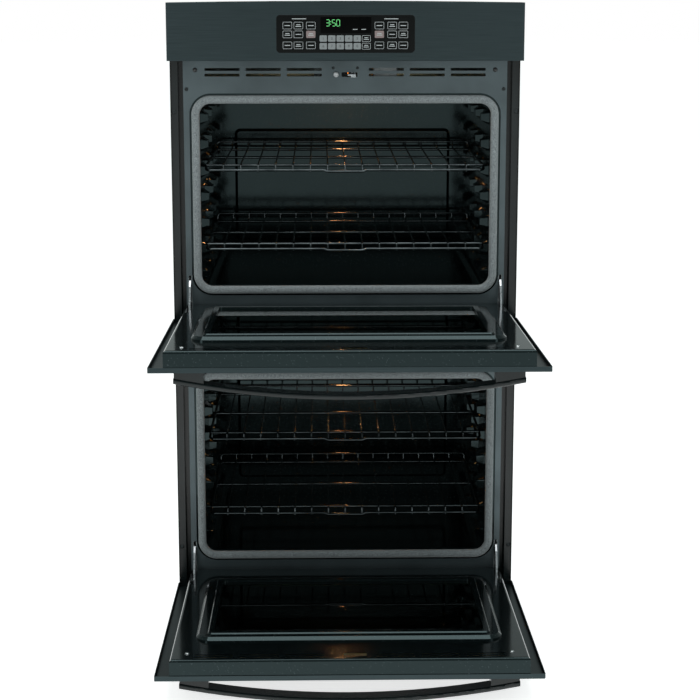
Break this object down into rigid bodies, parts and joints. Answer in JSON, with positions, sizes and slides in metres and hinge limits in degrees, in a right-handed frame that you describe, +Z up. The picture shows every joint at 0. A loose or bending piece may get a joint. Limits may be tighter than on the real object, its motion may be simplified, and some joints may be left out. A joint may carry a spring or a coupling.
{
  "type": "built-in double wall oven",
  "caption": "Built-in double wall oven with drop-down doors, sliding wire racks, a bowed bar handle on each door and a touch control panel.",
  "frame": {"origin": "underside of the base, midway between the sides, in the plane of the cabinet's front face", "axes": "+X to the right seen from the front, +Y from the front into the cabinet, +Z up"},
  "size_m": [0.7556, 1.1592, 1.3559],
  "materials": {
    "galvanised_steel": "dull spangled zinc",
    "black_trim_paint": "satin baked paint",
    "dark_stainless": "satin, dark tinted, fine brushed",
    "glass_wool": "loose fibre",
    "element_sheath": "oxidised, matt",
    "lamp_glass": "clear, polished",
    "stainless_steel": "stamped, satin",
    "keypad_gloss": "glossy",
    "circuit_board": "matt lacquer",
    "blower_steel": "plain sheet",
    "zinc_plate": "bright zinc plate",
    "black_screws": "black oxide",
    "black_enamel": "glossy porcelain enamel",
    "door_glass": "tinted float glass, polished",
    "seal_braid": "woven glass-fibre braid",
    "plunger_plastic": "moulded",
    "rack_chrome": "polished plate"
  },
  "bodies": {
    "chassis": {"back_panel": "galvanised_steel", "bake_elements": "element_sheath", "base_pan": "galvanised_steel", "bottom_door_rail": "dark_stainless", "broil_elements": "element_sheath", "cavity_insulation": "glass_wool", "chassis_screws": "black_screws", "control_board": "circuit_board", "control_fascia": "dark_stainless", "cooling_fan": "blower_steel", "front_frame": "black_trim_paint", "hinge_arms": "stainless_steel", "hinge_receivers": "galvanised_steel", "junction_box": "zinc_plate", "latch_units": "galvanised_steel", "left_side_panel": "galvanised_steel", "left_side_trim": "black_trim_paint", "lower_cavity": "black_enamel", "lower_gasket": "seal_braid", "lower_vent_panel": "black_trim_paint", "middle_door_rail": "dark_stainless", "oven_lamps": "lamp_glass", "right_side_panel": "galvanised_steel", "right_side_trim": "black_trim_paint", "temperature_sensors": "stainless_steel", "top_panel": "galvanised_steel", "touch_panel": "keypad_gloss", "upper_cavity": "black_enamel", "upper_gasket": "seal_braid", "upper_vent_panel": "black_trim_paint"},
    "upper_door": {"upper_door_skin": "dark_stainless", "upper_door_outer_glass": "door_glass", "upper_door_glass_pack": "door_glass", "upper_door_inner_glass": "door_glass", "upper_door_liner": "black_enamel", "upper_door_window_frame": "black_enamel", "upper_door_insulation": "glass_wool", "upper_door_handle": "dark_stainless", "upper_door_hinges": "stainless_steel", "upper_door_screws": "zinc_plate"},
    "upper_oven_upper_rack": {"upper_oven_upper_rack": "rack_chrome"},
    "upper_oven_lower_rack": {"upper_oven_lower_rack": "rack_chrome"},
    "upper_latch_hook": {"upper_latch_hook": "stainless_steel"},
    "upper_switch_plunger": {"upper_switch_plunger": "plunger_plastic"},
    "lower_door": {"lower_door_skin": "dark_stainless", "lower_door_outer_glass": "door_glass", "lower_door_glass_pack": "door_glass", "lower_door_inner_glass": "door_glass", "lower_door_liner": "black_enamel", "lower_door_window_frame": "black_enamel", "lower_door_insulation": "glass_wool", "lower_door_handle": "dark_stainless", "lower_door_hinges": "stainless_steel", "lower_door_screws": "zinc_plate"},
    "lower_oven_upper_rack": {"lower_oven_upper_rack": "rack_chrome"},
    "lower_oven_lower_rack": {"lower_oven_lower_rack": "rack_chrome"},
    "lower_latch_hook": {"lower_latch_hook": "stainless_steel"},
    "lower_switch_plunger": {"lower_switch_plunger": "plunger_plastic"},
    "fan_wheel": {"fan_wheel": "blower_steel"}
  },
  "joints": [
    {"name": "upper_door_hinge", "type": "hinge", "parent": "chassis", "child": "upper_door", "pos_m": [0, -0.04, 0.681], "axis": [1, 0, 0], "range_deg": [-88, 0]},
    {"name": "upper_oven_upper_rack_slide", "type": "slide", "parent": "chassis", "child": "upper_oven_upper_rack", "axis": [0, -1, 0], "range_m": [0, 0.3]},
    {"name": "upper_oven_lower_rack_slide", "type": "slide", "parent": "chassis", "child": "upper_oven_lower_rack", "axis": [0, -1, 0], "range_m": [0, 0.3]},
    {"name": "upper_latch_turn", "type": "hinge", "parent": "chassis", "child": "upper_latch_hook", "pos_m": [0.017, 0.035, 1.2], "axis": [0, 0, -1], "range_deg": [0, 18]},
    {"name": "upper_switch_press", "type": "slide", "parent": "chassis", "child": "upper_switch_plunger", "axis": [0, 1, 0], "range_m": [0, 0.005], "stiffness_N_per_m": 200},
    {"name": "lower_door_hinge", "type": "hinge", "parent": "chassis", "child": "lower_door", "pos_m": [0, -0.04, 0.073], "axis": [1, 0, 0], "range_deg": [-88, 0]},
    {"name": "lower_oven_upper_rack_slide", "type": "slide", "parent": "chassis", "child": "lower_oven_upper_rack", "axis": [0, -1, 0], "range_m": [0, 0.3]},
    {"name": "lower_oven_lower_rack_slide", "type": "slide", "parent": "chassis", "child": "lower_oven_lower_rack", "axis": [0, -1, 0], "range_m": [0, 0.3]},
    {"name": "lower_latch_turn", "type": "hinge", "parent": "chassis", "child": "lower_latch_hook", "pos_m": [0.017, 0.035, 0.592], "axis": [0, 0, -1], "range_deg": [0, 18]},
    {"name": "lower_switch_press", "type": "slide", "parent": "chassis", "child": "lower_switch_plunger", "axis": [0, 1, 0], "range_m": [0, 0.005], "stiffness_N_per_m": 200},
    {"name": "fan_spin", "type": "hinge", "parent": "chassis", "child": "fan_wheel", "pos_m": [0, 0.33, 1.238], "axis": [0, 0, 1], "continuous": true}
  ]
}
